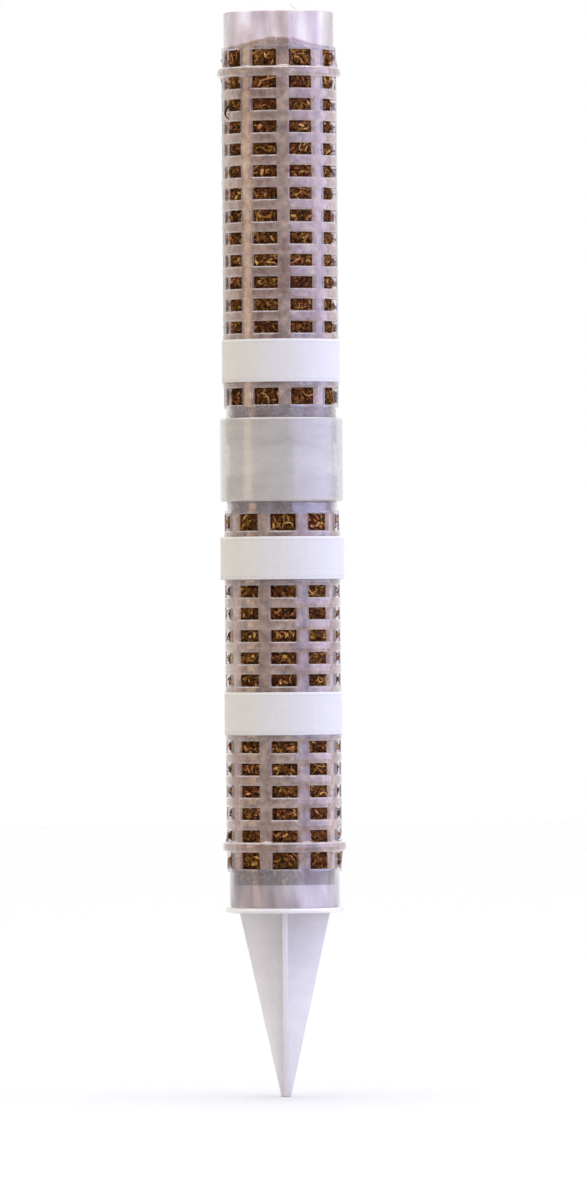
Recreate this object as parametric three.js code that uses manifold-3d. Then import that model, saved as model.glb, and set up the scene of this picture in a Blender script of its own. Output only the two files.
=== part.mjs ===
// Modular moss pole: two windowed tube sections, a coupler, two moss cores, three straps and a ground stake.
// Millimetres, +Z up. The origin lies on the pole's axis in the stake's flat underside. The front faces -Y.
import * as THREE from 'three';
import { mergeVertices } from 'three/addons/utils/BufferGeometryUtils.js';
import Module from 'manifold-3d';

const wasm = await Module();
wasm.setup();

// Tube section
const boreRadius = 27.0;
const neckWall = 1.35;
const ribWall = 2.6;
const hoopWall = 2.9;
const beadWall = 4.9;
const neckLength = 18.0;
const rimChamfer = 0.9;
const endRingHeight = 1.8;
const tallWindowHeight = 8.5;
const windowHeight = 6.0;
const hoopHeight = 5.4;
const regularRows = 14;
const columns = 9;
const windowAngle = 27.0;
const windowSteps = 2;
const upperRibAngle = 3.9;
const lowerRibAngle = 21.0;

// Coupler
const couplerWall = 2.8;
const couplerLength = 43.0;
const couplerChamfer = 0.8;
const insertDepth = 13.6;
const socketClearance = 0.45;
const seatGap = 0.3;
const roundSteps = 48;

// Moss
const mossClearance = 0.45;
const mossRelief = 0.9;
const mossInNeck = 7.0;
const mossDome = 5.0;
const mossShoulder = 0.6;
const mossRings = 18;

// Straps
const strapWidth = 22.0;
const strapThickness = 1.5;
const strapClearance = 0.35;
const strapOverlapAngle = 52.0;
const strapRampAngle = 22.0;
const strapStepAngle = 7.5;
const upperStrapHoop = 13;
const middleStrapHoop = 1;
const lowerStrapHoop = 8;
const strapTailAngle = 150.0;

// Ground stake
const plugHeight = 12.0;
const plugWall = 2.0;
const plugClearance = 0.5;
const flangeOverhang = 1.8;
const flangeThickness = 2.6;
const bladeLength = 95.0;
const bladeThickness = 3.0;
const bladeTipWidth = 5.0;
const bladeInset = 3.0;

// Radii and heights that follow from the sizes above
const neckRadius = boreRadius + neckWall;
const ribRadius = boreRadius + ribWall;
const hoopRadius = boreRadius + hoopWall;
const beadRadius = boreRadius + beadWall;
const rowPitch = windowHeight + hoopHeight;
const bodyLength = 2 * (endRingHeight + tallWindowHeight) + hoopHeight + regularRows * rowPitch;
const sectionLength = bodyLength + 2 * neckLength;
const socketRadius = neckRadius + socketClearance;
const couplerRadius = socketRadius + couplerWall;
const flangeTop = flangeThickness;
const lowerBase = flangeTop + seatGap;
const lowerTop = lowerBase + sectionLength;
const couplerBase = lowerTop + seatGap - insertDepth;
const couplerTop = couplerBase + couplerLength;
const upperBase = couplerTop - insertDepth + seatGap;
const upperTop = upperBase + sectionLength;

const radians = (degrees) => (degrees * Math.PI) / 180;

// Angle 0 faces the front, -Y, and grows towards +X
const onCircle = (radius, angle, z) => [radius * Math.sin(angle), -radius * Math.cos(angle), z];

const clearPlastic = { color: 0xd9cfd4, roughness: 0.22, metalness: 0 };
const frostedPlastic = { color: 0xcfc9cc, roughness: 0.3, metalness: 0 };
const mossFibre = { color: 0x5a3a26, roughness: 0.95, metalness: 0 };
const whiteTape = { color: 0xf2f0ef, roughness: 0.9, metalness: 0 };

const group = new THREE.Group();

function addPiece(name, geometry, finish) {
  const mesh = new THREE.Mesh(geometry, new THREE.MeshStandardMaterial(finish));
  mesh.name = name;
  group.add(mesh);
}

function geometryFrom(points, triangles) {
  const geometry = new THREE.BufferGeometry();
  geometry.setAttribute('position', new THREE.Float32BufferAttribute(points.flat(), 3));
  geometry.setIndex(triangles.flat());
  return geometry;
}

function welded(geometry) {
  geometry.deleteAttribute('normal');
  geometry.deleteAttribute('uv');
  return mergeVertices(geometry, 1e-4);
}

// A closed profile of [radius, z] points, listed anticlockwise, turned about Z
function turned(profile) {
  const closed = [...profile, profile[0]].map(([radius, z]) => new THREE.Vector2(radius, z));
  const lathe = new THREE.LatheGeometry(closed, roundSteps);
  lathe.rotateX(Math.PI / 2);
  return welded(lathe);
}

function solidFrom(geometry) {
  const flat = welded(geometry.clone());
  const mesh = new wasm.Mesh({
    numProp: 3,
    vertProperties: new Float32Array(flat.attributes.position.array),
    triVerts: new Uint32Array(flat.index.array),
  });
  return new wasm.Manifold(mesh);
}

function geometryOf(solid) {
  const mesh = solid.getMesh();
  const geometry = new THREE.BufferGeometry();
  geometry.setAttribute('position', new THREE.BufferAttribute(new Float32Array(mesh.vertProperties), 3));
  geometry.setIndex(new THREE.BufferAttribute(new Uint32Array(mesh.triVerts), 1));
  return geometry;
}

// The bands of one section from its bead end: height, outer radius at each end, and whether it has windows
function sectionBands() {
  const plain = (height, radius) => ({ height, low: radius, high: radius, open: false });
  const open = (height) => ({ height, low: ribRadius, high: ribRadius, open: true });
  const lip = { height: rimChamfer, low: neckRadius - rimChamfer / 2, high: neckRadius, open: false };
  const bands = [lip, plain(neckLength - rimChamfer, neckRadius), plain(endRingHeight, hoopRadius)];
  bands.push(open(tallWindowHeight), plain(hoopHeight, beadRadius));
  for (let row = 0; row < regularRows; row += 1) {
    bands.push(open(windowHeight), plain(hoopHeight, hoopRadius));
  }
  bands.push(open(tallWindowHeight), plain(endRingHeight, hoopRadius));
  bands.push(plain(neckLength - rimChamfer, neckRadius));
  bands.push({ ...lip, low: lip.high, high: lip.low });
  return bands;
}

// The angles round a section: each column has one rib step and its window's steps
function sectionAngles(ribCentre) {
  const pitch = 360 / columns;
  const rib = pitch - windowAngle;
  const steps = [];
  for (let column = 0; column < columns; column += 1) {
    const start = ribCentre - rib / 2 + column * pitch;
    steps.push({ angle: radians(start), open: false });
    for (let step = 0; step < windowSteps; step += 1) {
      steps.push({ angle: radians(start + rib + (step * windowAngle) / windowSteps), open: true });
    }
  }
  return steps;
}

// One windowed section, closed everywhere: walls, window reveals, steps at the hoops and the two rims
function sectionGeometry(bands, steps, baseZ) {
  const levels = [baseZ];
  bands.forEach((band) => levels.push(levels[levels.length - 1] + band.height));
  const count = steps.length;
  const points = [];
  const triangles = [];
  const known = new Map();
  const radiiAt = new Map();

  const corner = (step, level, radius) => {
    const key = `${step % count}/${level}/${radius.toFixed(5)}`;
    if (!known.has(key)) {
      known.set(key, points.length);
      points.push(onCircle(radius, steps[step % count].angle, levels[level]));
    }
    return known.get(key);
  };
  const isSolid = (band, step) => {
    const inside = band >= 0 && band < bands.length;
    return inside && !(bands[band].open && steps[(step + count) % count].open);
  };
  const note = (step, level, radius) => {
    const key = `${step % count}/${level}`;
    radiiAt.set(key, [...(radiiAt.get(key) ?? []), radius]);
  };
  const chain = (step, level, inner, outer) => {
    const between = radiiAt.get(`${step % count}/${level}`).filter((r) => r > inner && r < outer);
    const sorted = [...new Set([inner, ...between, outer])].sort((a, b) => a - b);
    return sorted.map((radius) => ({ radius, at: corner(step, level, radius) }));
  };
  const face = (a, b, c, turn) => triangles.push(turn ? [a, c, b] : [a, b, c]);
  const quad = (a, b, c, d) => triangles.push([a, b, c], [a, c, d]);
  // Triangles between two chains that run outwards, which may have different numbers of corners
  const strip = (left, right, turn) => {
    let l = 0;
    let r = 0;
    while (l < left.length - 1 || r < right.length - 1) {
      const nextLeft = l < left.length - 1 ? left[l + 1].radius : Infinity;
      const nextRight = r < right.length - 1 ? right[r + 1].radius : Infinity;
      if (nextLeft <= nextRight) {
        face(left[l].at, right[r].at, left[l + 1].at, turn);
        l += 1;
      } else {
        face(left[l].at, right[r].at, right[r + 1].at, turn);
        r += 1;
      }
    }
  };

  bands.forEach((band, b) => {
    for (let s = 0; s < count; s += 1) {
      if (isSolid(b, s)) {
        [s, s + 1].forEach((step) => {
          [boreRadius, band.low].forEach((radius) => note(step, b, radius));
          [boreRadius, band.high].forEach((radius) => note(step, b + 1, radius));
        });
      }
    }
  });

  bands.forEach((band, b) => {
    for (let s = 0; s < count; s += 1) {
      if (isSolid(b, s)) {
        const outer = [corner(s, b, band.low), corner(s + 1, b, band.low)];
        quad(...outer, corner(s + 1, b + 1, band.high), corner(s, b + 1, band.high));
        const inner = [corner(s + 1, b, boreRadius), corner(s, b, boreRadius)];
        quad(...inner, corner(s, b + 1, boreRadius), corner(s + 1, b + 1, boreRadius));
      }
      if (isSolid(b, s) !== isSolid(b, s - 1)) {
        const reveal = [corner(s, b, boreRadius), corner(s, b, band.low)];
        reveal.push(corner(s, b + 1, band.high), corner(s, b + 1, boreRadius));
        quad(...(isSolid(b, s) ? reveal : reveal.reverse()));
      }
    }
  });

  for (let level = 0; level <= bands.length; level += 1) {
    for (let s = 0; s < count; s += 1) {
      const below = isSolid(level - 1, s) ? bands[level - 1].high : boreRadius;
      const above = isSolid(level, s) ? bands[level].low : boreRadius;
      if (below !== above) {
        const inner = Math.min(below, above);
        const outer = Math.max(below, above);
        const left = chain(s, level, inner, outer);
        strip(left, chain(s + 1, level, inner, outer), below > above);
      }
    }
  }
  return geometryFrom(points, triangles);
}

// Upper section: its bead is near the top
const upperBands = sectionBands().reverse().map((band) => ({ ...band, low: band.high, high: band.low }));
const upperSteps = sectionAngles(upperRibAngle);
addPiece('upper_tube', sectionGeometry(upperBands, upperSteps, upperBase), clearPlastic);

// Lower section: the same part, turned end for end
const lowerSteps = sectionAngles(lowerRibAngle);
addPiece('lower_tube', sectionGeometry(sectionBands(), lowerSteps, lowerBase), clearPlastic);

// Coupler: a socket at each end and a stop land of the tube's bore between them
const landBase = couplerBase + insertDepth;
const landTop = couplerTop - insertDepth;
const couplerProfile = [
  [boreRadius, landBase],
  [socketRadius, landBase],
  [socketRadius, couplerBase + couplerChamfer],
  [socketRadius + couplerChamfer / 2, couplerBase],
  [couplerRadius - couplerChamfer, couplerBase],
  [couplerRadius, couplerBase + couplerChamfer],
  [couplerRadius, couplerTop - couplerChamfer],
  [couplerRadius - couplerChamfer, couplerTop],
  [socketRadius + couplerChamfer / 2, couplerTop],
  [socketRadius, couplerTop - couplerChamfer],
  [socketRadius, landTop],
  [boreRadius, landTop],
];
addPiece('coupler', turned(couplerProfile), frostedPlastic);

// Moss cores: lumpy columns with domed tops, which follow each section's own corners to stay clear of its wall
function mossGeometry(steps, bottom, top, phase) {
  const points = [];
  const triangles = [];
  const count = steps.length;
  const radius = boreRadius - mossClearance;
  const rings = [];
  for (let ring = 0; ring <= mossRings; ring += 1) {
    rings.push({ reach: 1, z: bottom + (ring / mossRings) * (top - mossDome - bottom) });
  }
  rings.push({ reach: mossShoulder, z: top - mossDome * (1 - Math.sqrt(1 - mossShoulder ** 2)) });
  rings.forEach(({ reach, z }, ring) => {
    steps.forEach(({ angle }) => {
      const lump = Math.sin(3 * angle + 5.1 * ring + phase) * Math.sin(7 * angle - 2.3 * ring + phase);
      const dent = (mossRelief * (1 + lump)) / 2;
      const end = ring === 0 || ring === mossRings ? mossRelief : 0;
      points.push(onCircle((radius - dent - end) * reach, angle, z));
    });
  });
  const bottomCentre = points.push([0, 0, bottom]) - 1;
  const topCentre = points.push([0, 0, top]) - 1;
  const last = (rings.length - 1) * count;
  for (let s = 0; s < count; s += 1) {
    const next = (s + 1) % count;
    for (let low = 0; low < last; low += count) {
      const high = low + count;
      triangles.push([low + s, low + next, high + next], [low + s, high + next, high + s]);
    }
    triangles.push([bottomCentre, next, s], [topCentre, last + s, last + next]);
  }
  return geometryFrom(points, triangles);
}

const upperMossBase = upperBase + neckLength - mossInNeck;
const upperMossTop = upperTop - neckLength + mossInNeck;
addPiece('upper_moss', mossGeometry(upperSteps, upperMossBase, upperMossTop, 0.4), mossFibre);
const lowerMossBase = flangeTop + plugHeight + seatGap;
const lowerMossTop = lowerTop - neckLength + mossInNeck;
addPiece('lower_moss', mossGeometry(lowerSteps, lowerMossBase, lowerMossTop, 1.9), mossFibre);

// Straps: one strip each, wound once round the hoops, with its tail lifted over its start
function strapGeometry(centreZ) {
  const points = [];
  const triangles = [];
  const inner = (hoopRadius + strapClearance) / Math.cos(radians(strapStepAngle / 2));
  const lift = strapThickness + strapClearance;
  const sweep = 360 + strapOverlapAngle;
  const count = Math.ceil(sweep / strapStepAngle);
  const low = centreZ - strapWidth / 2;
  const high = centreZ + strapWidth / 2;
  for (let step = 0; step <= count; step += 1) {
    const turn = (step * sweep) / count;
    const climb = Math.min(Math.max((turn - 360 + strapRampAngle) / strapRampAngle, 0), 1);
    const radius = inner + lift * climb;
    const angle = radians(strapTailAngle + turn);
    points.push(onCircle(radius, angle, low), onCircle(radius + strapThickness, angle, low));
    points.push(onCircle(radius + strapThickness, angle, high), onCircle(radius, angle, high));
  }
  for (let step = 0; step < count; step += 1) {
    const a = step * 4;
    for (let side = 0; side < 4; side += 1) {
      const next = (side + 1) % 4;
      triangles.push([a + side, a + 4 + side, a + 4 + next], [a + side, a + 4 + next, a + next]);
    }
  }
  const end = count * 4;
  triangles.push([0, 1, 2], [0, 2, 3], [end, end + 2, end + 1], [end, end + 3, end + 2]);
  return geometryFrom(points, triangles);
}

// A strap's hoop is counted from the top of its section's regular rows
const bodyToHoop = (hoop) => endRingHeight + tallWindowHeight + hoop * rowPitch + hoopHeight / 2;
const upperBodyTop = upperTop - neckLength;
const lowerBodyTop = lowerTop - neckLength;
addPiece('upper_strap', strapGeometry(upperBodyTop - bodyToHoop(upperStrapHoop)), whiteTape);
addPiece('middle_strap', strapGeometry(lowerBodyTop - bodyToHoop(middleStrapHoop)), whiteTape);
addPiece('lower_strap', strapGeometry(lowerBodyTop - bodyToHoop(lowerStrapHoop)), whiteTape);

// Ground stake: a plug and flange that close the lower neck, on two crossed blades that taper to a point
const plugRadius = boreRadius * Math.cos(radians(windowAngle / windowSteps / 2)) - plugClearance;
const flangeRadius = neckRadius + flangeOverhang;
const plugTop = flangeTop + plugHeight;
const plugFloor = flangeTop;
const stakeProfile = [
  [0, 0],
  [flangeRadius, 0],
  [flangeRadius, flangeTop],
  [plugRadius, flangeTop],
  [plugRadius, plugTop],
  [plugRadius - plugWall, plugTop],
  [plugRadius - plugWall, plugFloor],
  [0, plugFloor],
];
const bladeHalf = plugRadius - bladeInset;
const bladeOutline = new THREE.Shape();
bladeOutline.moveTo(-bladeHalf, flangeThickness / 2);
bladeOutline.lineTo(-bladeHalf, 0);
bladeOutline.lineTo(-bladeTipWidth / 2, -bladeLength);
bladeOutline.lineTo(bladeTipWidth / 2, -bladeLength);
bladeOutline.lineTo(bladeHalf, 0);
bladeOutline.lineTo(bladeHalf, flangeThickness / 2);
const bladeGeometry = new THREE.ExtrudeGeometry(bladeOutline, { depth: bladeThickness, bevelEnabled: false });
bladeGeometry.translate(0, 0, -bladeThickness / 2);
bladeGeometry.rotateX(Math.PI / 2);
const crossGeometry = bladeGeometry.clone().rotateZ(Math.PI / 2);
const stake = solidFrom(turned(stakeProfile)).add(solidFrom(bladeGeometry)).add(solidFrom(crossGeometry));
addPiece('ground_stake', geometryOf(stake), frostedPlastic);

export default group;
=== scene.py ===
import math
import random

import bmesh
import bpy
from mathutils import Matrix, Vector, noise


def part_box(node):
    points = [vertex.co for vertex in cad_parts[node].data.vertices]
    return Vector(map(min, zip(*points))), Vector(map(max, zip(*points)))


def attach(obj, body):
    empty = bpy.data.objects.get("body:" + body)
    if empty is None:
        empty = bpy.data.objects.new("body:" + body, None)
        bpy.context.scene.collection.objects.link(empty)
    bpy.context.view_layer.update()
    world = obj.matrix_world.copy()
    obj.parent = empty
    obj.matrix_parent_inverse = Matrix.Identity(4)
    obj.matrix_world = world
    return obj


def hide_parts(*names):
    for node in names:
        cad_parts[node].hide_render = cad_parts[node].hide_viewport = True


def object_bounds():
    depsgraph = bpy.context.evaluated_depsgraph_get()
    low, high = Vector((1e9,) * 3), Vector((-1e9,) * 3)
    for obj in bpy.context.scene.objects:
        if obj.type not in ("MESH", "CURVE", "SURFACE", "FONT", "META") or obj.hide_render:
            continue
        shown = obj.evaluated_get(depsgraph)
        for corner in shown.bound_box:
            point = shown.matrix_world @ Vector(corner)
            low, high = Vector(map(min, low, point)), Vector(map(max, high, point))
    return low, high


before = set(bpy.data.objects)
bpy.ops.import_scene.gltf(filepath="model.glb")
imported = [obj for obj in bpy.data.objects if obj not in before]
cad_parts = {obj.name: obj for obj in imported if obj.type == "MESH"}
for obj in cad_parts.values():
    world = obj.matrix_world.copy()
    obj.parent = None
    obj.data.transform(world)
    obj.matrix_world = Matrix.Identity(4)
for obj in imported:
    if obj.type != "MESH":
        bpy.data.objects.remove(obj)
cad_low, cad_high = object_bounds()

# Ground stake: one clear moulding. Its plug and flange close the lower neck, and the
# crossed blades under the flange taper to a blunt point that is pushed into the ground.
MM = 0.001
FULL_TURN = 360.0
TURN_STEPS = 128
SHARP_ANGLE = 40.0
FLANGE_TOP = 2.6 * MM
FLANGE_RADIUS = 30.15 * MM
FLANGE_EYE = 0.6 * MM
PLUG_RADIUS = 26.3 * MM
PLUG_WALL = 2.0 * MM
BLADE_HALF = 23.3 * MM
BLADE_TIP_HALF = 2.5 * MM
BLADE_THICKNESS = 3.0 * MM
BLADE_ROOT = 0.6 * MM
STAKE_ROUNDING = 0.45 * MM


def on_circle(radius, degrees, z):
    """A point at an angle that is 0 at the front, -Y, and grows towards +X."""
    angle = math.radians(degrees)
    return Vector((radius * math.sin(angle), -radius * math.cos(angle), z))


def spun(bm, geom, degrees, steps, copies=False):
    """Sweeps a line about the pole's axis, or repeats a shape round it, and gives the last of it."""
    return bmesh.ops.spin(
        bm,
        geom=geom,
        cent=(0, 0, 0),
        axis=(0, 0, 1),
        dvec=(0, 0, 0),
        angle=math.radians(degrees),
        steps=steps,
        use_merge=degrees == FULL_TURN,
        use_normal_flip=False,
        use_duplicate=copies,
    )["geom_last"]


def turned(bm, profile, arcs=((FULL_TURN, TURN_STEPS),), closed=True):
    """Sweeps a profile of (radius, z) points about the pole's axis, through (degrees, steps) arcs."""
    corners = [bm.verts.new(on_circle(radius, 0.0, z)) for radius, z in profile]
    pairs = list(zip(corners, corners[1:]))
    if closed:
        pairs.append((corners[-1], corners[0]))
    line = corners + [bm.edges.new(pair) for pair in pairs]
    for degrees, steps in arcs:
        line = spun(bm, line, degrees, steps)


def soften(bm, width, segments=2, least_angle=35.0, where=None):
    """Rounds every edge that is sharper than an angle, or those of them that a test picks."""
    bm.normal_update()
    limit = math.radians(least_angle)
    sharp = [e for e in bm.edges if e.is_manifold and e.calc_face_angle() > limit]
    return bmesh.ops.bevel(
        bm,
        geom=[e for e in sharp if where is None or where(e)],
        offset=width,
        offset_type="OFFSET",
        segments=segments,
        profile=0.5,
        affect="EDGES",
        clamp_overlap=True,
        material=-1,
    )["faces"]


def mesh_of(bm, name):
    """Stores a bmesh as a new mesh and frees it."""
    mesh = bpy.data.meshes.new(name)
    bm.to_mesh(mesh)
    bm.free()
    return mesh


def linked(name, data):
    """A new object with given data, linked to the scene."""
    thing = bpy.data.objects.new(name, data)
    bpy.context.scene.collection.objects.link(thing)
    return thing


def placed(mesh, name, body, node, slot, *materials):
    """Links a mesh as a piece, with its materials, body and node; slot is not used."""
    piece = linked(name, mesh)
    for material in materials:
        mesh.materials.append(material)
    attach(piece, body)
    if node:
        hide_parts(node)


def finished(bm, name, body, node, slot, *materials):
    """Turns a bmesh into a smooth piece that stands for a CAD node and rides on its body."""
    bmesh.ops.recalc_face_normals(bm, faces=bm.faces)
    for face in bm.faces:
        face.smooth = True
    mesh = mesh_of(bm, name)
    mesh.set_sharp_from_angle(angle=math.radians(SHARP_ANGLE))
    placed(mesh, name, body, node, slot, *materials)


def shader(name):
    """A new node material: itself, its node tree, its Principled shader and its coordinates."""
    material = bpy.data.materials.new(name)
    material.use_nodes = True
    tree = material.node_tree
    coords = tree.nodes.new("ShaderNodeTexCoord")
    return material, tree, tree.nodes["Principled BSDF"], coords.outputs["Object"]


def wired(tree, node, links, values):
    """Links outputs to a node's sockets, and sets its constant sockets."""
    for socket, output in links.items():
        tree.links.new(output, node.inputs[socket])
    for socket, value in values.items():
        node.inputs[socket].default_value = value


def noise_node(tree, vector, scale, detail=3.0, roughness=0.55):
    """A noise texture on given coordinates."""
    node = tree.nodes.new("ShaderNodeTexNoise")
    wired(tree, node, {"Vector": vector}, {"Scale": scale, "Detail": detail, "Roughness": roughness})
    return node.outputs["Fac"]


def ramp_node(tree, value, *stops):
    """A colour ramp with (position, colour) stops."""
    node = tree.nodes.new("ShaderNodeValToRGB")
    while len(node.color_ramp.elements) < len(stops):
        node.color_ramp.elements.new(0.5)
    for element, (position, colour) in zip(node.color_ramp.elements, stops):
        element.position = position
        element.color = (*colour, 1.0)
    wired(tree, node, {"Fac": value}, {})
    return node.outputs["Color"]


def range_node(tree, value, span, result):
    """Maps a value from one (low, high) range to another."""
    node = tree.nodes.new("ShaderNodeMapRange")
    sockets = ("From Min", "From Max", "To Min", "To Max")
    wired(tree, node, {"Value": value}, dict(zip(sockets, span + result)))
    return node.outputs["Result"]


def bump_node(tree, height, strength, distance):
    """A bump from a height, in metres."""
    node = tree.nodes.new("ShaderNodeBump")
    wired(tree, node, {"Height": height}, {"Strength": strength, "Distance": distance})
    return node.outputs["Normal"]


def streaks(tree, coords, stops, stretch, scale):
    """A colour in soft streaks: noise on stretched coordinates through a ramp."""
    flow = tree.nodes.new("ShaderNodeMapping")
    wired(tree, flow, {"Vector": coords}, {"Scale": stretch})
    return ramp_node(tree, noise_node(tree, flow.outputs["Vector"], scale, detail=4.0), *stops)


def frosted_plastic(name, deep, pale, face_body, edge_body):
    """Frosted plastic: faint clouds, a gloss, and walls that look thinner towards the outline."""
    material, tree, bsdf, coords = shader(name)
    view = tree.nodes.new("ShaderNodeLayerWeight")
    wired(tree, view, {}, {"Blend": 0.5})
    frost = noise_node(tree, coords, scale=1500.0)
    waves = noise_node(tree, coords, scale=90.0, detail=5.0, roughness=0.58)
    clouds = [(0.30, deep), (0.70, pale)]
    links = {
        "Base Color": streaks(tree, coords, clouds, stretch=(0.35, 0.35, 1.0), scale=150.0),
        "Alpha": range_node(tree, view.outputs["Facing"], (0.35, 0.95), (face_body, edge_body)),
        "Roughness": range_node(tree, frost, (0.3, 0.7), (0.20, 0.40)),
        "Normal": bump_node(tree, waves, strength=0.08, distance=0.4 * MM),
    }
    values = {
        "Specular IOR Level": 0.7,
        "Coat Weight": 1.0,
        "Coat IOR": 1.6,
        "Coat Roughness": 0.14,
    }
    wired(tree, bsdf, links, values)
    return material


stake_plastic = frosted_plastic("stake_plastic", (0.69, 0.66, 0.66), (0.76, 0.73, 0.73), 0.72, 0.50)
stake_low, stake_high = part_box("ground_stake")
stake_bm = bmesh.new()
turned(
    stake_bm,
    [
        (FLANGE_EYE, 0.0),
        (FLANGE_RADIUS, 0.0),
        (FLANGE_RADIUS, FLANGE_TOP),
        (PLUG_RADIUS, FLANGE_TOP),
        (PLUG_RADIUS, stake_high.z),
        (PLUG_RADIUS - PLUG_WALL, stake_high.z),
        (PLUG_RADIUS - PLUG_WALL, FLANGE_TOP),
        (FLANGE_EYE, FLANGE_TOP),
    ],
)
blade_outline = [
    (-BLADE_HALF, BLADE_ROOT),
    (-BLADE_HALF, 0.0),
    (-BLADE_TIP_HALF, stake_low.z),
    (BLADE_TIP_HALF, stake_low.z),
    (BLADE_HALF, 0.0),
    (BLADE_HALF, BLADE_ROOT),
]
for quarter in (0, 90):
    turn = Matrix.Rotation(math.radians(quarter), 3, "Z")
    corners = [turn @ Vector((x, -BLADE_THICKNESS / 2, z)) for x, z in blade_outline]
    blade = stake_bm.faces.new([stake_bm.verts.new(corner) for corner in corners])
    grown = bmesh.ops.extrude_face_region(stake_bm, geom=[blade])
    moved = [g for g in grown["geom"] if isinstance(g, bmesh.types.BMVert)]
    bmesh.ops.translate(stake_bm, verts=moved, vec=turn @ Vector((0, BLADE_THICKNESS, 0)))
bmesh.ops.recalc_face_normals(stake_bm, faces=stake_bm.faces)
soften(stake_bm, STAKE_ROUNDING)
finished(stake_bm, "ground_stake_moulding", "stake", "ground_stake", "stake_plastic", stake_plastic)

# Tube sections: two copies of one clear moulding. Crowned hoops run round between the upright
# ribs, windows lie between them, both ends draw in to plain necks, and one end has a bead.
BORE = 27.0 * MM
NECK = 28.35 * MM
RIB = 29.6 * MM
HOOP = 29.9 * MM
BEAD = 31.9 * MM
NECK_LENGTH = 18.0 * MM
RIM_ROUND = ((0.55 * MM, 0.0), (0.15 * MM, 0.2 * MM), (0.0, 0.75 * MM))
END_RING = 1.8 * MM
TALL_WINDOW = 8.5 * MM
WINDOW = 6.0 * MM
HOOP_HEIGHT = 5.4 * MM
HOOP_ANGLES = (60, 90, 120)
BEAD_ANGLES = (25, 55, 90, 125, 155)
REGULAR_ROWS = 14
COLUMNS = 9
COLUMN_PITCH = FULL_TURN / COLUMNS
RIB_HALF_ANGLE = 6.5
RIB_HALF_STEPS = 2
WINDOW_ANGLE = COLUMN_PITCH - 2 * RIB_HALF_ANGLE
WINDOW_STEPS = 6
WINDOW_ROUNDING = 1.2 * MM
NECK_ROUNDING = 0.25 * MM
UPPER_RIB_ANGLE = 3.9
LOWER_RIB_ANGLE = 21.0
HAIR = 0.02 * MM
SAME_POINT = 0.001 * MM
BORE_SLOT = 1
PAINTED_HIGHLIGHT_SLOT = 2
EDGE_SLOPE = 0.3


def clear_plastic(name, deep, pale, clarity):
    """Clear plastic with upright flow streaks, a slight waviness and a gloss."""
    material, tree, bsdf, coords = shader(name)
    grain = noise_node(tree, coords, scale=260.0)
    waves = noise_node(tree, coords, scale=120.0, detail=2.0)
    flow = [(0.34, deep), (0.64, pale)]
    links = {
        "Base Color": streaks(tree, coords, flow, stretch=(1.0, 1.0, 0.3), scale=110.0),
        "Roughness": range_node(tree, grain, (0.3, 0.7), (0.13, 0.24)),
        "Normal": bump_node(tree, waves, strength=0.08, distance=0.4 * MM),
    }
    values = {
        "Transmission Weight": clarity,
        "IOR": 1.15,
        "Coat Weight": 1.0,
        "Coat IOR": 1.6,
        "Coat Roughness": 0.10,
    }
    wired(tree, bsdf, links, values)
    return material


tube_plastic = clear_plastic("tube_plastic", (0.58, 0.48, 0.50), (0.93, 0.90, 0.90), 0.90)
# The edge plastic is paler and hazier than the tube plastic. On the rounded edges that face up or down it
# paints a highlight line along each hoop.
tube_edge_painted_highlight = clear_plastic("tube_edge_painted_highlight", (0.84, 0.79, 0.81), (0.94, 0.92, 0.94), 0.80)
damp_bore, damp_tree, damp_bsdf, damp_coords = shader("damp_bore")
damp_colour = ramp_node(
    damp_tree,
    noise_node(damp_tree, damp_coords, scale=230.0, detail=5.0, roughness=0.6),
    (0.34, (0.18, 0.090, 0.040)),
    (0.50, (0.36, 0.205, 0.095)),
    (0.66, (0.55, 0.365, 0.210)),
)
damp_values = {"Roughness": 0.4, "IOR": 1.36, "Transmission Weight": 0.35}
wired(damp_tree, damp_bsdf, {"Base Color": damp_colour}, damp_values)


def ring_line(low, height, peak, angles):
    """The crowned outer line of a hoop, a bead or an end ring, between its feet on the ribs."""
    line = []
    for angle in angles:
        turn = math.radians(angle)
        radius = RIB + (peak - RIB) * math.sqrt(math.sin(turn))
        line.append((radius, low + height * (1 - math.cos(turn)) / 2))
    return line


bands = [(END_RING, RIB, ()), (TALL_WINDOW, None, ())]
bands += [(HOOP_HEIGHT, HOOP, HOOP_ANGLES), (WINDOW, None, ())] * REGULAR_ROWS
bands += [(HOOP_HEIGHT, BEAD, BEAD_ANGLES), (TALL_WINDOW, None, ()), (END_RING, RIB, ())]
rim_line = [(NECK - inset, z) for inset, z in RIM_ROUND]
outer_line = rim_line + [(NECK, NECK_LENGTH), (RIB, NECK_LENGTH)]
row_spans = []
level = NECK_LENGTH
for height, peak, angles in bands:
    if peak:
        outer_line += ring_line(level, height, peak, angles)
    else:
        outer_line += [(RIB, level), (RIB, level + height)]
        row_spans.append((level, level + height))
    level += height
section_length = level + NECK_LENGTH
outer_line += [(RIB, level), (NECK, level)]
outer_line += [(radius, section_length - z) for radius, z in reversed(rim_line)]
inner_line = [(BORE, section_length)]
for low, high in reversed(row_spans):
    inner_line += [(BORE, high), (BORE, low)]
inner_line.append((BORE, 0.0))

tube_bm = bmesh.new()
rib_arc = (RIB_HALF_ANGLE, RIB_HALF_STEPS)
turned(tube_bm, outer_line + inner_line, (rib_arc, (WINDOW_ANGLE, WINDOW_STEPS), rib_arc))


def in_window(point, low, high, slack):
    """True where a point lies in one window of the first column."""
    angle = math.degrees(math.atan2(point.x, -point.y))
    edge = math.degrees(slack / BORE)
    across = RIB_HALF_ANGLE - edge < angle < COLUMN_PITCH - RIB_HALF_ANGLE + edge
    return across and low - slack < point.z < high + slack


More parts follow.
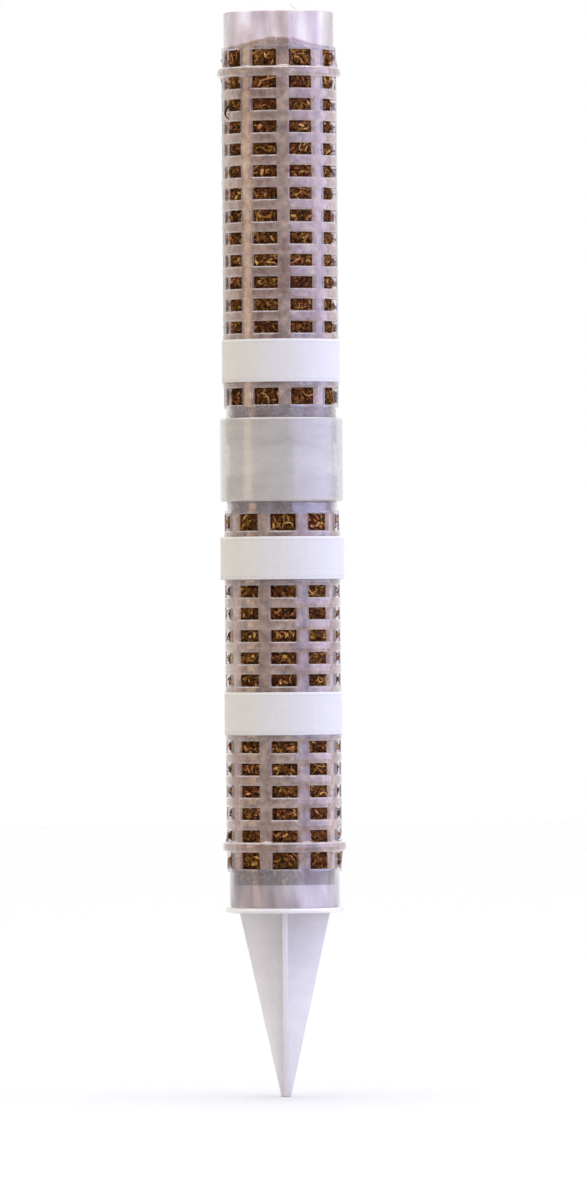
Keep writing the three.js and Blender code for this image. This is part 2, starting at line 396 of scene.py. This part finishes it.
for low, high in row_spans:
    covered = [f for f in tube_bm.faces if in_window(f.calc_center_median(), low, high, -HAIR)]
    bmesh.ops.delete(tube_bm, geom=covered, context="FACES")
    open_edges = [e for e in tube_bm.edges if e.is_boundary]
    reveal = [e for e in open_edges if all(in_window(v.co, low, high, HAIR) for v in e.verts)]
    bmesh.ops.bridge_loops(tube_bm, edges=reveal)
first_column = tube_bm.verts[:] + tube_bm.edges[:] + tube_bm.faces[:]
spun(tube_bm, first_column, COLUMN_PITCH * (COLUMNS - 1), COLUMNS - 1, copies=True)
bmesh.ops.remove_doubles(tube_bm, verts=tube_bm.verts, dist=HAIR)
bmesh.ops.recalc_face_normals(tube_bm, faces=tube_bm.faces)


def outer_window_edge(edge):
    """True for an edge on the outside of the grid, between its two shoulders."""
    outside = all(v.co.xy.length > RIB - HAIR for v in edge.verts)
    return outside and all(NECK_LENGTH + HAIR < v.co.z < level - HAIR for v in edge.verts)


def neck_edge(edge):
    """True for an edge of a neck, its rim or its shoulder."""
    return all(v.co.z < NECK_LENGTH + HAIR or v.co.z > level - HAIR for v in edge.verts)


# Rounded window edges that face up or down get the paler edge plastic: a painted highlight along the top
# and bottom of the hoops, bead and end rings.
for face in soften(tube_bm, WINDOW_ROUNDING, segments=4, where=outer_window_edge):
    if abs(face.normal.z) > EDGE_SLOPE:
        face.material_index = PAINTED_HIGHLIGHT_SLOT
soften(tube_bm, NECK_ROUNDING, where=neck_edge)
bmesh.ops.remove_doubles(tube_bm, verts=tube_bm.verts, dist=SAME_POINT)
for face in tube_bm.faces:
    against_bore = all(v.co.xy.length < BORE + HAIR for v in face.verts)
    if against_bore and NECK_LENGTH < face.calc_center_median().z < level:
        face.material_index = BORE_SLOT

lower_low, lower_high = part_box("lower_tube")
upper_low, upper_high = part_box("upper_tube")
sections = {
    "lower": (lower_high.z, LOWER_RIB_ANGLE, Matrix.Rotation(math.pi, 4, "Y")),
    "upper": (upper_low.z, UPPER_RIB_ANGLE, Matrix.Identity(4)),
}
for section, (base, rib_angle, end_for_end) in sections.items():
    facing = Matrix.Rotation(math.radians(rib_angle), 4, "Z")
    place = Matrix.Translation((0, 0, base)) @ facing @ end_for_end
    section_bm = tube_bm.copy()
    bmesh.ops.transform(section_bm, matrix=place, verts=section_bm.verts)
    finished(
        section_bm,
        f"{section}_tube_moulding",
        f"{section}_section",
        f"{section}_tube",
        "tube_plastic",
        tube_plastic,
        damp_bore,
        tube_edge_painted_highlight,
    )
tube_bm.free()

# Moss fillings: chopped brown moss packed into each section. A dark lumpy core lies under
# crumpled chips and bent strands, which swell into the windows and here and there poke out; the core's
# near-black patches are painted shade between the fibres.
MOSS_RADIUS = 26.4 * MM
TOP_SINK = 2.8 * MM
TOP_DOME = 5.0 * MM
END_DOME = 1.0 * MM
TOP_MARGIN = 2.0 * MM
CORE_STEPS = 144
CORE_RING_STEP = 1.2 * MM
CORE_FOOT_SHARE = 0.5
CORE_TOP_SHARES = (0.93, 0.8, 0.6, 0.4, 0.2)
CORE_SAME_POINT = 0.01 * MM
CORE_SINK = 0.85 * MM
LUMP_SCALE = 420.0
LUMP_FRACTAL = (0.9, 2.0, 4)
LUMP_SIDE = 0.55 * MM
LUMP_TOP = 0.6 * MM
WINDOW_BULGE = 2.2 * MM
BULGE_MARGIN = 1.4 * MM
LOWER_SEED = 11
UPPER_SEED = 23


def product_node(tree, first, second):
    """The product of two colours."""
    node = tree.nodes.new("ShaderNodeMix")
    node.data_type = "RGBA"
    node.blend_type = "MULTIPLY"
    wired(tree, node, {"A": first, "B": second}, {"Factor": 1.0})
    return node.outputs["Result"]


def sum_node(tree, value, weight, base):
    """A value times a weight, plus a base."""
    node = tree.nodes.new("ShaderNodeMath")
    node.operation = "MULTIPLY_ADD"
    wired(tree, node, {0: value, 2: base}, {1: weight})
    return node.outputs["Value"]


def moss_cast(tree, coords, colour):
    """Shifts a moss colour between maroon and golden from place to place."""
    patches = noise_node(tree, coords, scale=70.0, detail=2.0)
    cast = ramp_node(tree, patches, (0.40, (0.94, 0.66, 0.60)), (0.60, (1.0, 0.90, 0.56)))
    return product_node(tree, colour, cast)


core_moss, core_tree, core_bsdf, core_coords = shader("moss_core")
core_grain = noise_node(core_tree, core_coords, scale=620.0, detail=5.0, roughness=0.7)
# The core's colour runs from near-black, painted shade of the gaps between fibres, through real moss browns
# to tan.
core_colour = ramp_node(
    core_tree,
    core_grain,
    (0.38, (0.010, 0.005, 0.002)),
    (0.50, (0.060, 0.024, 0.007)),
    (0.58, (0.190, 0.095, 0.030)),
    (0.68, (0.420, 0.265, 0.115)),
)
core_links = {
    "Base Color": moss_cast(core_tree, core_coords, core_colour),
    "Normal": bump_node(core_tree, core_grain, strength=1.0, distance=1.2 * MM),
}
wired(core_tree, core_bsdf, core_links, {"Roughness": 0.95, "Specular IOR Level": 0.08})

strand_moss, strand_tree, strand_bsdf, strand_coords = shader("moss_strands")
strand_tint = strand_tree.nodes.new("ShaderNodeAttribute")
strand_tint.attribute_name = "tint"
strand_mottle = noise_node(strand_tree, strand_coords, scale=1400.0)
strand_colour = ramp_node(
    strand_tree,
    sum_node(strand_tree, strand_mottle, 0.30, strand_tint.outputs["Fac"]),
    (0.16, (0.018, 0.006, 0.002)),
    (0.42, (0.105, 0.040, 0.009)),
    (0.70, (0.300, 0.150, 0.045)),
    (0.98, (0.520, 0.350, 0.150)),
)
strand_links = {"Base Color": moss_cast(strand_tree, strand_coords, strand_colour)}
wired(strand_tree, strand_bsdf, strand_links, {"Roughness": 0.8, "Specular IOR Level": 0.12})


def window_depth(degrees, z, rib_angle, spans):
    """How far a place is inside the nearest window, in metres; 0 under plastic."""
    across = (degrees - rib_angle) % COLUMN_PITCH
    side = min(across - RIB_HALF_ANGLE, COLUMN_PITCH - RIB_HALF_ANGLE - across)
    sideways = math.radians(side) * BORE
    upright = max(min(z - low, high - z) for low, high in spans)
    return max(min(sideways, upright), 0.0)


def dome_height(across, high, dome):
    """The height of a filling's heaped top at a distance from the axis."""
    share = min(across / MOSS_RADIUS, 1.0)
    return high - dome + dome * (1.0 - share * share) ** 2


def core_piece(section, body, rib_angle, spans, low, high, dome):
    """The lumpy core of one section, which swells into the windows."""
    side_top = high - dome
    rings = round((side_top - low) / CORE_RING_STEP)
    profile = [(0.0, low), (MOSS_RADIUS * CORE_FOOT_SHARE, low)]
    profile += [(MOSS_RADIUS, low + (side_top - low) * k / rings) for k in range(rings + 1)]
    top_radii = [MOSS_RADIUS * share for share in CORE_TOP_SHARES]
    profile += [(radius, dome_height(radius, high, dome)) for radius in top_radii]
    profile.append((0.0, high))
    core_bm = bmesh.new()
    turned(core_bm, profile, ((FULL_TURN, CORE_STEPS),), closed=False)
    bmesh.ops.remove_doubles(core_bm, verts=core_bm.verts, dist=CORE_SAME_POINT)
    for vert in core_bm.verts:
        lump = noise.fractal(vert.co * LUMP_SCALE, *LUMP_FRACTAL)
        degrees = math.degrees(math.atan2(vert.co.x, -vert.co.y))
        room = min(window_depth(degrees, vert.co.z, rib_angle, spans) / BULGE_MARGIN, 1.0)
        push = min(LUMP_SIDE * lump - CORE_SINK, 0.0) + WINDOW_BULGE * room
        vert.co.x *= 1.0 + push / MOSS_RADIUS
        vert.co.y *= 1.0 + push / MOSS_RADIUS
        if vert.co.z > side_top:
            vert.co.z -= LUMP_TOP * (1.0 + lump)
    finished(core_bm, f"{section}_moss_core", body, f"{section}_moss", "moss", core_moss)


CHIP_BATCHES = 120
TOP_BATCHES = 18
CHIPS_IN_BATCH = 45
CHIPS_IN_WINDOWS = 0.75
CHIP_MARGIN = 2.2 * MM
CHIP_SINK = 0.6 * MM
CHIP_SWELLS = (-0.4 * MM, 0.7 * MM)
CHIP_TOP_LIFTS = (-0.7 * MM, 0.1 * MM)
CHIP_LENGTHS = (0.6 * MM, 2.1 * MM)
CHIP_WIDTH_SHARES = (0.18, 0.50)
CHIP_THICKNESSES = (0.12 * MM, 0.3 * MM)
CHIP_TILT = 0.12
CHIP_WINDOW_TILT = 0.2
CHIP_CURL = 0.4
CHIP_CRUMPLE = 0.2 * MM
CHIP_TINTS = (1.1, 1.9)


def tinted(mesh, tints):
    """Gives each of a mesh's equal shapes its own tint."""
    share = len(mesh.vertices) // len(tints)
    tint = mesh.attributes.new("tint", "FLOAT", "POINT")
    for index, value in enumerate(tint.data):
        value.value = tints[index // share]


def chip_place(draw, rib_angle, spans, low, high):
    """Where a chip lies: mostly in a window, otherwise anywhere on the core."""
    if draw.random() > CHIPS_IN_WINDOWS:
        return draw.uniform(0, FULL_TURN), draw.uniform(low, high)
    sill, head = draw.choice(spans)
    across = draw.uniform(RIB_HALF_ANGLE, COLUMN_PITCH - RIB_HALF_ANGLE)
    return rib_angle + COLUMN_PITCH * draw.randrange(COLUMNS) + across, draw.uniform(sill, head)


def side_seat(draw, rib_angle, spans, low, high):
    """A chip's centre on the side of the core, the turn that lays it flat, and the room that it has."""
    degrees, z = chip_place(draw, rib_angle, spans, low, high)
    room = min(window_depth(degrees, z, rib_angle, spans) / CHIP_MARGIN, 1.0)
    swell = draw.uniform(*CHIP_SWELLS)
    radius = MOSS_RADIUS - CHIP_SINK + (WINDOW_BULGE + swell) * room
    lie = Matrix.Rotation(math.radians(degrees), 4, "Z") @ Matrix.Rotation(math.pi / 2, 4, "X")
    return on_circle(radius, degrees, z), lie, room


def top_seat(draw, high, dome):
    """The same for a chip on the heaped top."""
    reach = (MOSS_RADIUS - TOP_MARGIN) * math.sqrt(draw.random())
    z = dome_height(reach, high, dome) + draw.uniform(*CHIP_TOP_LIFTS)
    return on_circle(reach, draw.uniform(0, FULL_TURN), z), Matrix.Identity(4), 1.0


def add_chip(bm, draw, centre, lie, room):
    """Adds one crumpled, curled chip that lies roughly flat on its seat."""
    tilt = Matrix.Rotation(draw.gauss(0, CHIP_TILT + CHIP_WINDOW_TILT * room), 4, "X")
    spin = Matrix.Rotation(draw.uniform(0, math.tau), 4, "Z")
    length = draw.uniform(*CHIP_LENGTHS)
    width = length * draw.uniform(*CHIP_WIDTH_SHARES)
    thickness = draw.uniform(*CHIP_THICKNESSES)
    turn = lie @ tilt @ spin
    place = Matrix.Translation(centre) @ turn @ Matrix.Diagonal((length, width, thickness, 1.0))
    chip = bmesh.ops.create_icosphere(bm, subdivisions=1, radius=1.0, matrix=place)
    curl = turn.col[2].to_3d() * draw.uniform(-CHIP_CURL, CHIP_CURL) * length
    for vert in chip["verts"]:
        along = (vert.co - centre).dot(turn.col[0].to_3d()) / length
        crumple = Vector((draw.uniform(-1, 1), draw.uniform(-1, 1), draw.uniform(-1, 1)))
        vert.co += curl * (along * along - CHIP_CURL) + crumple * CHIP_CRUMPLE


def chip_piece(name, body, seats):
    """One mesh of many chips with tints of their own, in batches, which is quicker than all at once."""
    chips_bm = bmesh.new()
    tints = []
    for draw, seat in seats:
        batch_bm = bmesh.new()
        for _ in range(CHIPS_IN_BATCH):
            add_chip(batch_bm, draw, *seat(draw))
            tints.append(draw.betavariate(*CHIP_TINTS))
        batch = mesh_of(batch_bm, name)
        chips_bm.from_mesh(batch)
        bpy.data.meshes.remove(batch)
    mesh = mesh_of(chips_bm, name)
    tinted(mesh, tints)
    placed(mesh, name, body, None, "moss", strand_moss)


STRANDS = 1500
STRAYS = 34
TOP_STRANDS = 200
STRAND_POINTS = 8
STRAND_SECTION = ((0.0, 1.0, 0.0), (0.87, -0.5, 0.0), (-0.87, -0.5, 0.0))
STRAND_WIDTHS = (0.10 * MM, 0.40 * MM)
STRAND_END_SHARE = 0.4
STRAND_TINTS = (0.9, 1.5)
STRAND_STRIDES = (0.5 * MM, 1.3 * MM)
STRAND_SWELLS = (-0.2 * MM, 0.8 * MM)
STRAND_DEPTH = 0.5 * MM
STRAND_BEND = 0.45
STRAND_WANDER = 0.25
STRAY_ROOT = 1.5 * MM
STRAY_ROOT_POINTS = 3
STRAY_MARGIN = 1.5 * MM
STRAY_SPREAD = 8.0
STRAY_DRIFT = 1.6
STRAY_CLIMBS = (-0.5 * MM, 0.4 * MM)
STRAY_REACHES = (0.35 * MM, 0.75 * MM)
HEAP_EDGE = 0.5 * MM
HEAP_BEND = 0.3
HEAP_STRIDES = (0.9 * MM, 2.0 * MM)
HEAP_ARCHES = (0.1 * MM, 0.9 * MM)


def lying_path(draw, rib_angle, spans, low, high):
    """A bent strand that lies on the core and swells out where it crosses a window."""
    stride = draw.uniform(*STRAND_STRIDES)
    swell = draw.uniform(*STRAND_SWELLS)
    degrees = draw.uniform(0, FULL_TURN)
    z = draw.uniform(low, high)
    heading = draw.uniform(0, math.tau)
    bend = draw.gauss(0, STRAND_BEND)
    depth = MOSS_RADIUS - abs(draw.gauss(0, STRAND_DEPTH))
    path = []
    for _ in range(STRAND_POINTS):
        room = min(window_depth(degrees, z, rib_angle, spans) / BULGE_MARGIN, 1.0)
        path.append(on_circle(depth + (WINDOW_BULGE + swell) * room, degrees, z))
        heading += bend + draw.gauss(0, STRAND_WANDER)
        degrees += math.degrees(math.cos(heading) * stride / BORE)
        z = min(max(z + math.sin(heading) * stride, low), high)
    return path


def stray_path(draw, rib_angle, spans):
    """A strand that leaves the filling through the middle of a window."""
    low, high = draw.choice(spans)
    z = draw.uniform(low + STRAY_MARGIN, high - STRAY_MARGIN)
    centre = rib_angle + COLUMN_PITCH * (draw.randrange(COLUMNS) + 0.5)
    degrees = centre + draw.uniform(-STRAY_SPREAD, STRAY_SPREAD)
    drift = draw.uniform(-STRAY_DRIFT, STRAY_DRIFT)
    climb = draw.uniform(*STRAY_CLIMBS)
    reach = draw.uniform(*STRAY_REACHES)
    path = []
    for step in range(STRAND_POINTS):
        outside = max(step - STRAY_ROOT_POINTS, 0)
        radius = BORE - STRAY_ROOT + step * reach
        path.append(on_circle(radius, degrees + drift * outside, z + climb * outside))
    return path


def heap_path(draw, high, dome):
    """A strand that lies across the heaped top of the filling and arches a little above it."""
    reach = (MOSS_RADIUS - TOP_MARGIN) * math.sqrt(draw.random())
    place = on_circle(reach, draw.uniform(0, FULL_TURN), 0.0)
    heading = draw.uniform(0, math.tau)
    bend = draw.gauss(0, HEAP_BEND)
    stride = draw.uniform(*HEAP_STRIDES)
    height = draw.uniform(*HEAP_ARCHES)
    path = []
    for step in range(STRAND_POINTS):
        arch = math.sin(math.pi * step / (STRAND_POINTS - 1)) * height
        across = math.hypot(place.x, place.y)
        inside = min(1.0, (MOSS_RADIUS - HEAP_EDGE) / max(across, MM))
        z = dome_height(across * inside, high, dome) + arch
        path.append(Vector((place.x * inside, place.y * inside, z)))
        heading += bend
        place = place + Vector((math.cos(heading), math.sin(heading), 0)) * stride
    return path


def poly_line(curve, places):
    """A new spline of straight steps through given places."""
    spline = curve.splines.new("POLY")
    spline.points.add(len(places) - 1)
    for point, place in zip(spline.points, places):
        point.co = (*place, 1.0)
    return spline


strand_ring = bpy.data.curves.new("strand_outline", "CURVE")
poly_line(strand_ring, STRAND_SECTION).use_cyclic_u = True
strand_outline = bpy.data.objects.new("strand_outline", strand_ring)


def strand_piece(name, body, strands):
    """One mesh of many strands, each a path with its own width and tint, thinner at its ends."""
    fibres = bpy.data.curves.new(name, "CURVE")
    fibres.dimensions = "3D"
    fibres.bevel_mode = "OBJECT"
    fibres.bevel_object = strand_outline
    for path, width, _ in strands:
        spline = poly_line(fibres, path)
        for index, point in enumerate(spline.points):
            fullness = math.sin(math.pi * (index + 0.6) / len(path))
            point.radius = width * (STRAND_END_SHARE + (1.0 - STRAND_END_SHARE) * fullness)
    holder = linked(name, fibres)
    shown = holder.evaluated_get(bpy.context.evaluated_depsgraph_get())
    mesh = bpy.data.meshes.new_from_object(shown)
    bpy.data.objects.remove(holder)
    mesh.materials.clear()
    tinted(mesh, [tint for _, _, tint in strands])
    capped_bm = bmesh.new()
    capped_bm.from_mesh(mesh)
    open_ends = [e for e in capped_bm.edges if e.is_boundary]
    bmesh.ops.holes_fill(capped_bm, edges=open_ends, sides=len(STRAND_SECTION))
    bmesh.ops.recalc_face_normals(capped_bm, faces=capped_bm.faces)
    capped_bm.to_mesh(mesh)
    capped_bm.free()
    mesh.shade_smooth()
    placed(mesh, name, body, None, "moss", strand_moss)


def moss_filling(section, rib_angle, spans, seed, dome, extra_strands):
    """The core, the chips and the strands of one section."""
    body = f"{section}_section"
    low, high = (corner.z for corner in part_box(f"{section}_moss"))
    high -= TOP_SINK
    side_top = high - dome
    core_piece(section, body, rib_angle, spans, low, high, dome)

    draw = random.Random(seed)
    side = (draw, lambda pick: side_seat(pick, rib_angle, spans, low, side_top))
    top = (random.Random(seed + 1), lambda pick: top_seat(pick, high, dome))
    chip_piece(f"{section}_moss_chips", body, [side] * CHIP_BATCHES + [top] * TOP_BATCHES)

    paths = [lying_path(draw, rib_angle, spans, low, side_top) for _ in range(STRANDS)]
    paths += [stray_path(draw, rib_angle, spans) for _ in range(STRAYS)]
    paths += [heap_path(draw, high, dome) for _ in range(TOP_STRANDS)]
    strands = [(path, draw.uniform(*STRAND_WIDTHS), draw.betavariate(*STRAND_TINTS)) for path in paths]
    strand_piece(f"{section}_moss_strands", body, strands + extra_strands)


LONG_STRAY_Y = -18.0 * MM
top_rim = upper_high.z
long_stray = [
    Vector((x * MM, LONG_STRAY_Y, top_rim + z * MM))
    for x, z in (
        (6.2, -17.0),
        (7.4, -13.8),
        (8.3, -9.5),
        (9.0, -5.0),
        (9.5, -1.5),
        (9.0, 0.8),
        (7.6, 2.2),
        (5.9, 3.6),
    )
]
hanging_curl = [
    on_circle(radius * MM, degrees, top_rim - drop * MM)
    for radius, degrees, drop in (
        (26.0, -54.0, 47.0),
        (28.4, -55.0, 47.6),
        (30.1, -57.0, 48.6),
        (30.9, -60.0, 49.8),
        (31.0, -62.3, 51.4),
        (30.9, -62.3, 53.0),
        (30.8, -59.5, 54.4),
        (30.7, -55.8, 55.2),
    )
]
crossing_stem = [
    on_circle(28.9 * MM, -19.8 + 2.43 * step, top_rim - (36.2 - 0.27 * step) * MM)
    for step in range(STRAND_POINTS)
]
lifted_stem = [
    on_circle((28.4 + 0.58 * step) * MM, -12.5 + 0.65 * step, top_rim - (35.6 - 0.57 * step) * MM)
    for step in range(STRAND_POINTS)
]
photographed_strands = [
    (long_stray, 0.14 * MM, 0.9),
    (hanging_curl, 0.62 * MM, 0.04),
    (crossing_stem, 0.45 * MM, 0.95),
    (lifted_stem, 0.40 * MM, 0.90),
]
lower_spans = [(lower_high.z - high, lower_high.z - low) for low, high in row_spans]
upper_spans = [(upper_low.z + low, upper_low.z + high) for low, high in row_spans]
moss_filling("lower", LOWER_RIB_ANGLE, lower_spans, LOWER_SEED, END_DOME, [])
moss_filling("upper", UPPER_RIB_ANGLE, upper_spans, UPPER_SEED, TOP_DOME, photographed_strands)

# Coupler: a plain clear sleeve, wider than the tubes. A neck slides into each end and meets
# the thicker stop land in the middle, which has the same bore as the tubes.
SOCKET = 28.8 * MM
SLEEVE = 31.6 * MM
SOCKET_DEPTH = 13.6 * MM
MOUTH_FLARE = 0.4 * MM
MOUTH_CHAMFER = 0.8 * MM
SLEEVE_ROUNDING = 0.3 * MM
coupler_plastic = frosted_plastic("coupler_plastic", (0.40, 0.375, 0.340), (0.50, 0.475, 0.432), 0.52, 0.48)
sleeve_low, sleeve_high = (corner.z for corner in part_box("coupler"))
sleeve_bm = bmesh.new()
turned(
    sleeve_bm,
    [
        (BORE, sleeve_low + SOCKET_DEPTH),
        (SOCKET, sleeve_low + SOCKET_DEPTH),
        (SOCKET, sleeve_low + MOUTH_CHAMFER),
        (SOCKET + MOUTH_FLARE, sleeve_low),
        (SLEEVE - MOUTH_CHAMFER, sleeve_low),
        (SLEEVE, sleeve_low + MOUTH_CHAMFER),
        (SLEEVE, sleeve_high - MOUTH_CHAMFER),
        (SLEEVE - MOUTH_CHAMFER, sleeve_high),
        (SOCKET + MOUTH_FLARE, sleeve_high),
        (SOCKET, sleeve_high - MOUTH_CHAMFER),
        (SOCKET, sleeve_high - SOCKET_DEPTH),
        (BORE, sleeve_high - SOCKET_DEPTH),
    ],
)
bmesh.ops.recalc_face_normals(sleeve_bm, faces=sleeve_bm.faces)
soften(sleeve_bm, SLEEVE_ROUNDING)
finished(sleeve_bm, "coupler_sleeve", "sleeve", "coupler", "coupler_plastic", coupler_plastic)

# Straps: three lengths of white hook-and-loop tape, each wound once round the hoops and
# closed on itself at the back, where the tail lies over the start.
STRAP_THICKNESS = 1.5 * MM
STRAP_INNER = 30.3 * MM
STRAP_LIFT = 1.85 * MM
STRAP_SWEEP = 412.0
STRAP_RAMP = 22.0
STRAP_START = 150.0
STRAP_STEPS = 220
STRAP_ROWS = 14
STRAP_WAVE = 0.12 * MM
WAVES_ALONG = 0.05
WAVES_ACROSS = 3.0
WAVES_UPWARDS = 90.0
STRAP_ROUNDING = 0.3 * MM
HEM_WHITE = (1.0, 1.0, 1.0)
GROOVE_WHITE = (0.86, 0.86, 0.87)
FIELD_WHITE = (0.95, 0.95, 0.95)

strap_tape, tape_tree, tape_bsdf, tape_coords = shader("strap_tape")
tape_map = tape_tree.nodes.new("ShaderNodeUVMap")
tape_map.uv_map = "tape"
tape_uv = tape_map.outputs["UV"]
tape_nap = noise_node(tape_tree, tape_coords, scale=2600.0, detail=4.0, roughness=0.65)
tape_colour = ramp_node(tape_tree, tape_nap, (0.3, (0.47, 0.455, 0.43)), (0.6, (0.585, 0.57, 0.54)))
tape_axes = tape_tree.nodes.new("ShaderNodeSeparateXYZ")
wired(tape_tree, tape_axes, {"Vector": tape_uv}, {})
tape_selvage = ramp_node(
    tape_tree,
    tape_axes.outputs["Y"],
    (0.0, HEM_WHITE),
    (0.050, HEM_WHITE),
    (0.070, GROOVE_WHITE),
    (0.100, FIELD_WHITE),
    (0.900, FIELD_WHITE),
    (0.930, GROOVE_WHITE),
    (0.950, HEM_WHITE),
)
tape_ribs = tape_tree.nodes.new("ShaderNodeTexWave")
wired(tape_tree, tape_ribs, {"Vector": tape_uv}, {"Scale": 64.0, "Distortion": 1.2})
tape_relief = sum_node(tape_tree, tape_ribs.outputs["Fac"], 0.35, tape_nap)
tape_links = {
    "Base Color": product_node(tape_tree, tape_colour, tape_selvage),
    "Normal": bump_node(tape_tree, tape_relief, strength=0.5, distance=0.3 * MM),
}
wired(tape_tree, tape_bsdf, tape_links, {"Roughness": 0.9, "Sheen Weight": 0.08})

for height in ("upper", "middle", "lower"):
    strap = f"{height}_strap"
    strap_low, strap_high = (corner.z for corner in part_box(strap))
    strap_bm = bmesh.new()
    strap_bm.loops.layers.uv.new("tape")
    bmesh.ops.create_grid(strap_bm, x_segments=STRAP_STEPS, y_segments=STRAP_ROWS, size=0.5, calc_uvs=True)
    for vert in strap_bm.verts:
        along = vert.co.x + 0.5
        across = vert.co.y + 0.5
        turn = along * STRAP_SWEEP
        climb = min(max((turn - FULL_TURN + STRAP_RAMP) / STRAP_RAMP, 0.0), 1.0)
        eased = climb * climb * (3.0 - 2.0 * climb)
        spot = Vector((turn * WAVES_ALONG, across * WAVES_ACROSS, strap_low * WAVES_UPWARDS))
        radius = STRAP_INNER + STRAP_LIFT * eased + STRAP_WAVE * noise.noise(spot)
        vert.co = on_circle(radius, STRAP_START + turn, strap_low + across * (strap_high - strap_low))
    bmesh.ops.recalc_face_normals(strap_bm, faces=strap_bm.faces)
    bmesh.ops.solidify(strap_bm, geom=strap_bm.faces[:], thickness=STRAP_THICKNESS)
    bmesh.ops.recalc_face_normals(strap_bm, faces=strap_bm.faces)
    soften(strap_bm, STRAP_ROUNDING, least_angle=60.0)
    finished(strap_bm, f"{strap}_tape", f"{height}_tie", strap, "strap_tape", strap_tape)

# Studio: a pale floor under the stake's point, a white surround, a warm soft light at the
# front left and a cool one at the right, and a level long-lens camera.
FLOOR_SIZE = 6.0
FLOOR_GREY = (0.35, 0.35, 0.35, 1.0)
LAMP_AIM = Vector((0, 0, 0.25))
IMAGE_HEIGHT = 1200
PIXELS_PER_METRE = 1943.5
CAMERA_DISTANCE = 5.0
CAMERA_PLACE = (0.0056, -CAMERA_DISTANCE, 0.1605)
CAMERA_ROLL = 0.43

floor_bm = bmesh.new()
bmesh.ops.create_grid(floor_bm, x_segments=1, y_segments=1, size=FLOOR_SIZE)
bmesh.ops.translate(floor_bm, verts=floor_bm.verts, vec=(0, 0, cad_low.z))
floor_mesh = mesh_of(floor_bm, "studio_floor")
floor_paint, floor_tree, floor_bsdf, _ = shader("floor_paint")
wired(floor_tree, floor_bsdf, {}, {"Base Color": FLOOR_GREY, "Roughness": 0.8})
floor_mesh.materials.append(floor_paint)
floor = linked("studio_floor", floor_mesh)

world = bpy.data.worlds.new("studio")
bpy.context.scene.world = world
world.use_nodes = True
sky = world.node_tree
sky_way = sky.nodes.new("ShaderNodeTexCoord")
sky_axes = sky.nodes.new("ShaderNodeSeparateXYZ")
wired(sky, sky_axes, {"Vector": sky_way.outputs["Generated"]}, {})
sky_level = range_node(sky, sky_axes.outputs["Y"], (-1.0, 0.0), (0.34, 1.0))
sky_overhead = range_node(sky, sky_axes.outputs["Z"], (0.62, 0.88), (0.0, 4.2))
sky_colour = ramp_node(
    sky,
    range_node(sky, sky_axes.outputs["X"], (-1.0, 1.0), (0.0, 1.0)),
    (0.0, (0.88, 0.81, 0.74)),
    (0.38, (1.0, 1.0, 1.0)),
    (0.58, (1.0, 1.0, 1.0)),
    (1.0, (0.93, 0.92, 1.0)),
)
sky_links = {"Color": sky_colour, "Strength": sum_node(sky, sky_level, 1.0, sky_overhead)}
wired(sky, sky.nodes["Background"], sky_links, {})

for name, place, colour, power, width, height in (
    ("left_strip", (-1.55, -0.68, 0.30), (1.0, 0.66, 0.36), 4.4, 0.5, 1.0),
    ("right_window", (1.50, -0.70, 0.35), (0.52, 0.54, 1.0), 62.0, 3.0, 2.4),
):
    lamp = bpy.data.lights.new(name, "AREA")
    lamp.energy = power
    lamp.color = colour
    lamp.shape = "RECTANGLE"
    lamp.size = width
    lamp.size_y = height
    holder = linked(name, lamp)
    holder.location = place
    holder.visible_camera = False
    holder.rotation_euler = (LAMP_AIM - Vector(place)).to_track_quat("-Z", "Y").to_euler()

lens = bpy.data.cameras.new("camera")
lens.sensor_width = 36.0
lens.lens = PIXELS_PER_METRE * CAMERA_DISTANCE * lens.sensor_width / IMAGE_HEIGHT
lens.clip_end = 50.0
camera = linked("camera", lens)
level_view = Matrix.Rotation(math.pi / 2, 3, "X")
roll = Matrix.Rotation(math.radians(-CAMERA_ROLL), 3, "Z")
camera.location = CAMERA_PLACE
camera.rotation_euler = (level_view @ roll).to_euler()
bpy.context.scene.camera = camera
bpy.context.scene.view_settings.view_transform = "Standard"

bpy.context.view_layer.update()
